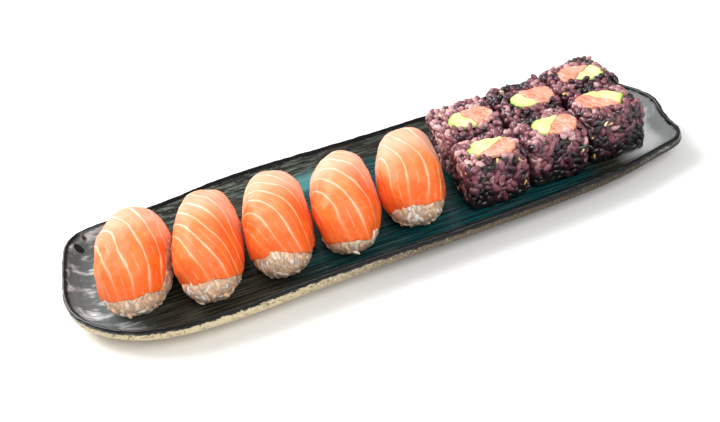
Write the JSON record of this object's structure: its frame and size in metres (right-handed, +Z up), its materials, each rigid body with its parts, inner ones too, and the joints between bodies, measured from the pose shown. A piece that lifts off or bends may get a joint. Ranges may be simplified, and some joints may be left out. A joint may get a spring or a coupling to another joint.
{
  "type": "sushi plate",
  "caption": "Long hand-made stoneware plate set with salmon nigiri in a row and square black rice roll pieces filled with avocado and salmon.",
  "frame": {"origin": "on the table under the middle of the plate: centre of the underside of its bounding box", "axes": "+X along the plate from the nigiri to the roll pieces, +Y away from the diner, +Z up"},
  "size_m": [0.31, 0.107, 0.0442],
  "materials": {
    "plate_glaze": "gloss, brushed charcoal and teal glaze over a bare sandy edge",
    "white_rice": "moist, slightly translucent",
    "salmon_slice": "moist, with pale fat lines",
    "black_rice": "moist, from near black to mauve",
    "avocado": "smooth, greener at its skin side",
    "salmon_filling": "moist, with pale streaks"
  },
  "bodies": {
    "root": {"plate": "plate_glaze", "nigiri_rice_1": "white_rice", "nigiri_rice_2": "white_rice", "nigiri_rice_3": "white_rice", "nigiri_rice_4": "white_rice", "nigiri_rice_5": "white_rice", "nigiri_salmon_1": "salmon_slice", "nigiri_salmon_2": "salmon_slice", "nigiri_salmon_3": "salmon_slice", "nigiri_salmon_4": "salmon_slice", "nigiri_salmon_5": "salmon_slice", "roll_rice_1": "black_rice", "roll_rice_2": "black_rice", "roll_rice_3": "black_rice", "roll_rice_4": "black_rice", "roll_rice_5": "black_rice", "roll_rice_6": "black_rice", "roll_avocado_1": "avocado", "roll_avocado_2": "avocado", "roll_avocado_3": "avocado", "roll_avocado_4": "avocado", "roll_avocado_5": "avocado", "roll_avocado_6": "avocado", "roll_salmon_1": "salmon_filling", "roll_salmon_2": "salmon_filling", "roll_salmon_3": "salmon_filling", "roll_salmon_4": "salmon_filling", "roll_salmon_5": "salmon_filling", "roll_salmon_6": "salmon_filling"}
  },
  "joints": []
}
